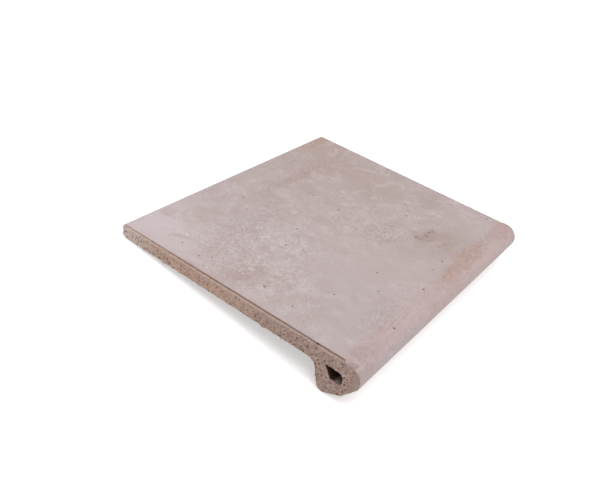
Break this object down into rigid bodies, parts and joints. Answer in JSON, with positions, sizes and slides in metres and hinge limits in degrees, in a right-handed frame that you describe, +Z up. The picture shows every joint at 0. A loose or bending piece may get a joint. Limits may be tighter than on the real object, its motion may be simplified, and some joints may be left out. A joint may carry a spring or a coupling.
{
  "type": "stair tread tile",
  "caption": "Extruded fired clay stair tread tile with a hollow drop nose, a grooved underside and a bare ledge along each end of its mottled walking face.",
  "frame": {"origin": "centre of the bounding box's base, on the floor that the tile lies on", "axes": "+X along the nose, -Y the way the nose faces, +Y the back edge, +Z up; the tile lies unheld on the heel of its nose and on its lower back edge, so the walking face tips back by 7.36 degrees about X; turned by that angle, the walking face is level as it is on a step"},
  "size_m": [0.33, 0.2638, 0.0434],
  "materials": {
    "glazed_clay": "matt to satin mottled rose grey face over coarse fired clay"
  },
  "bodies": {
    "root": {"tread_tile": "glazed_clay"}
  },
  "joints": []
}
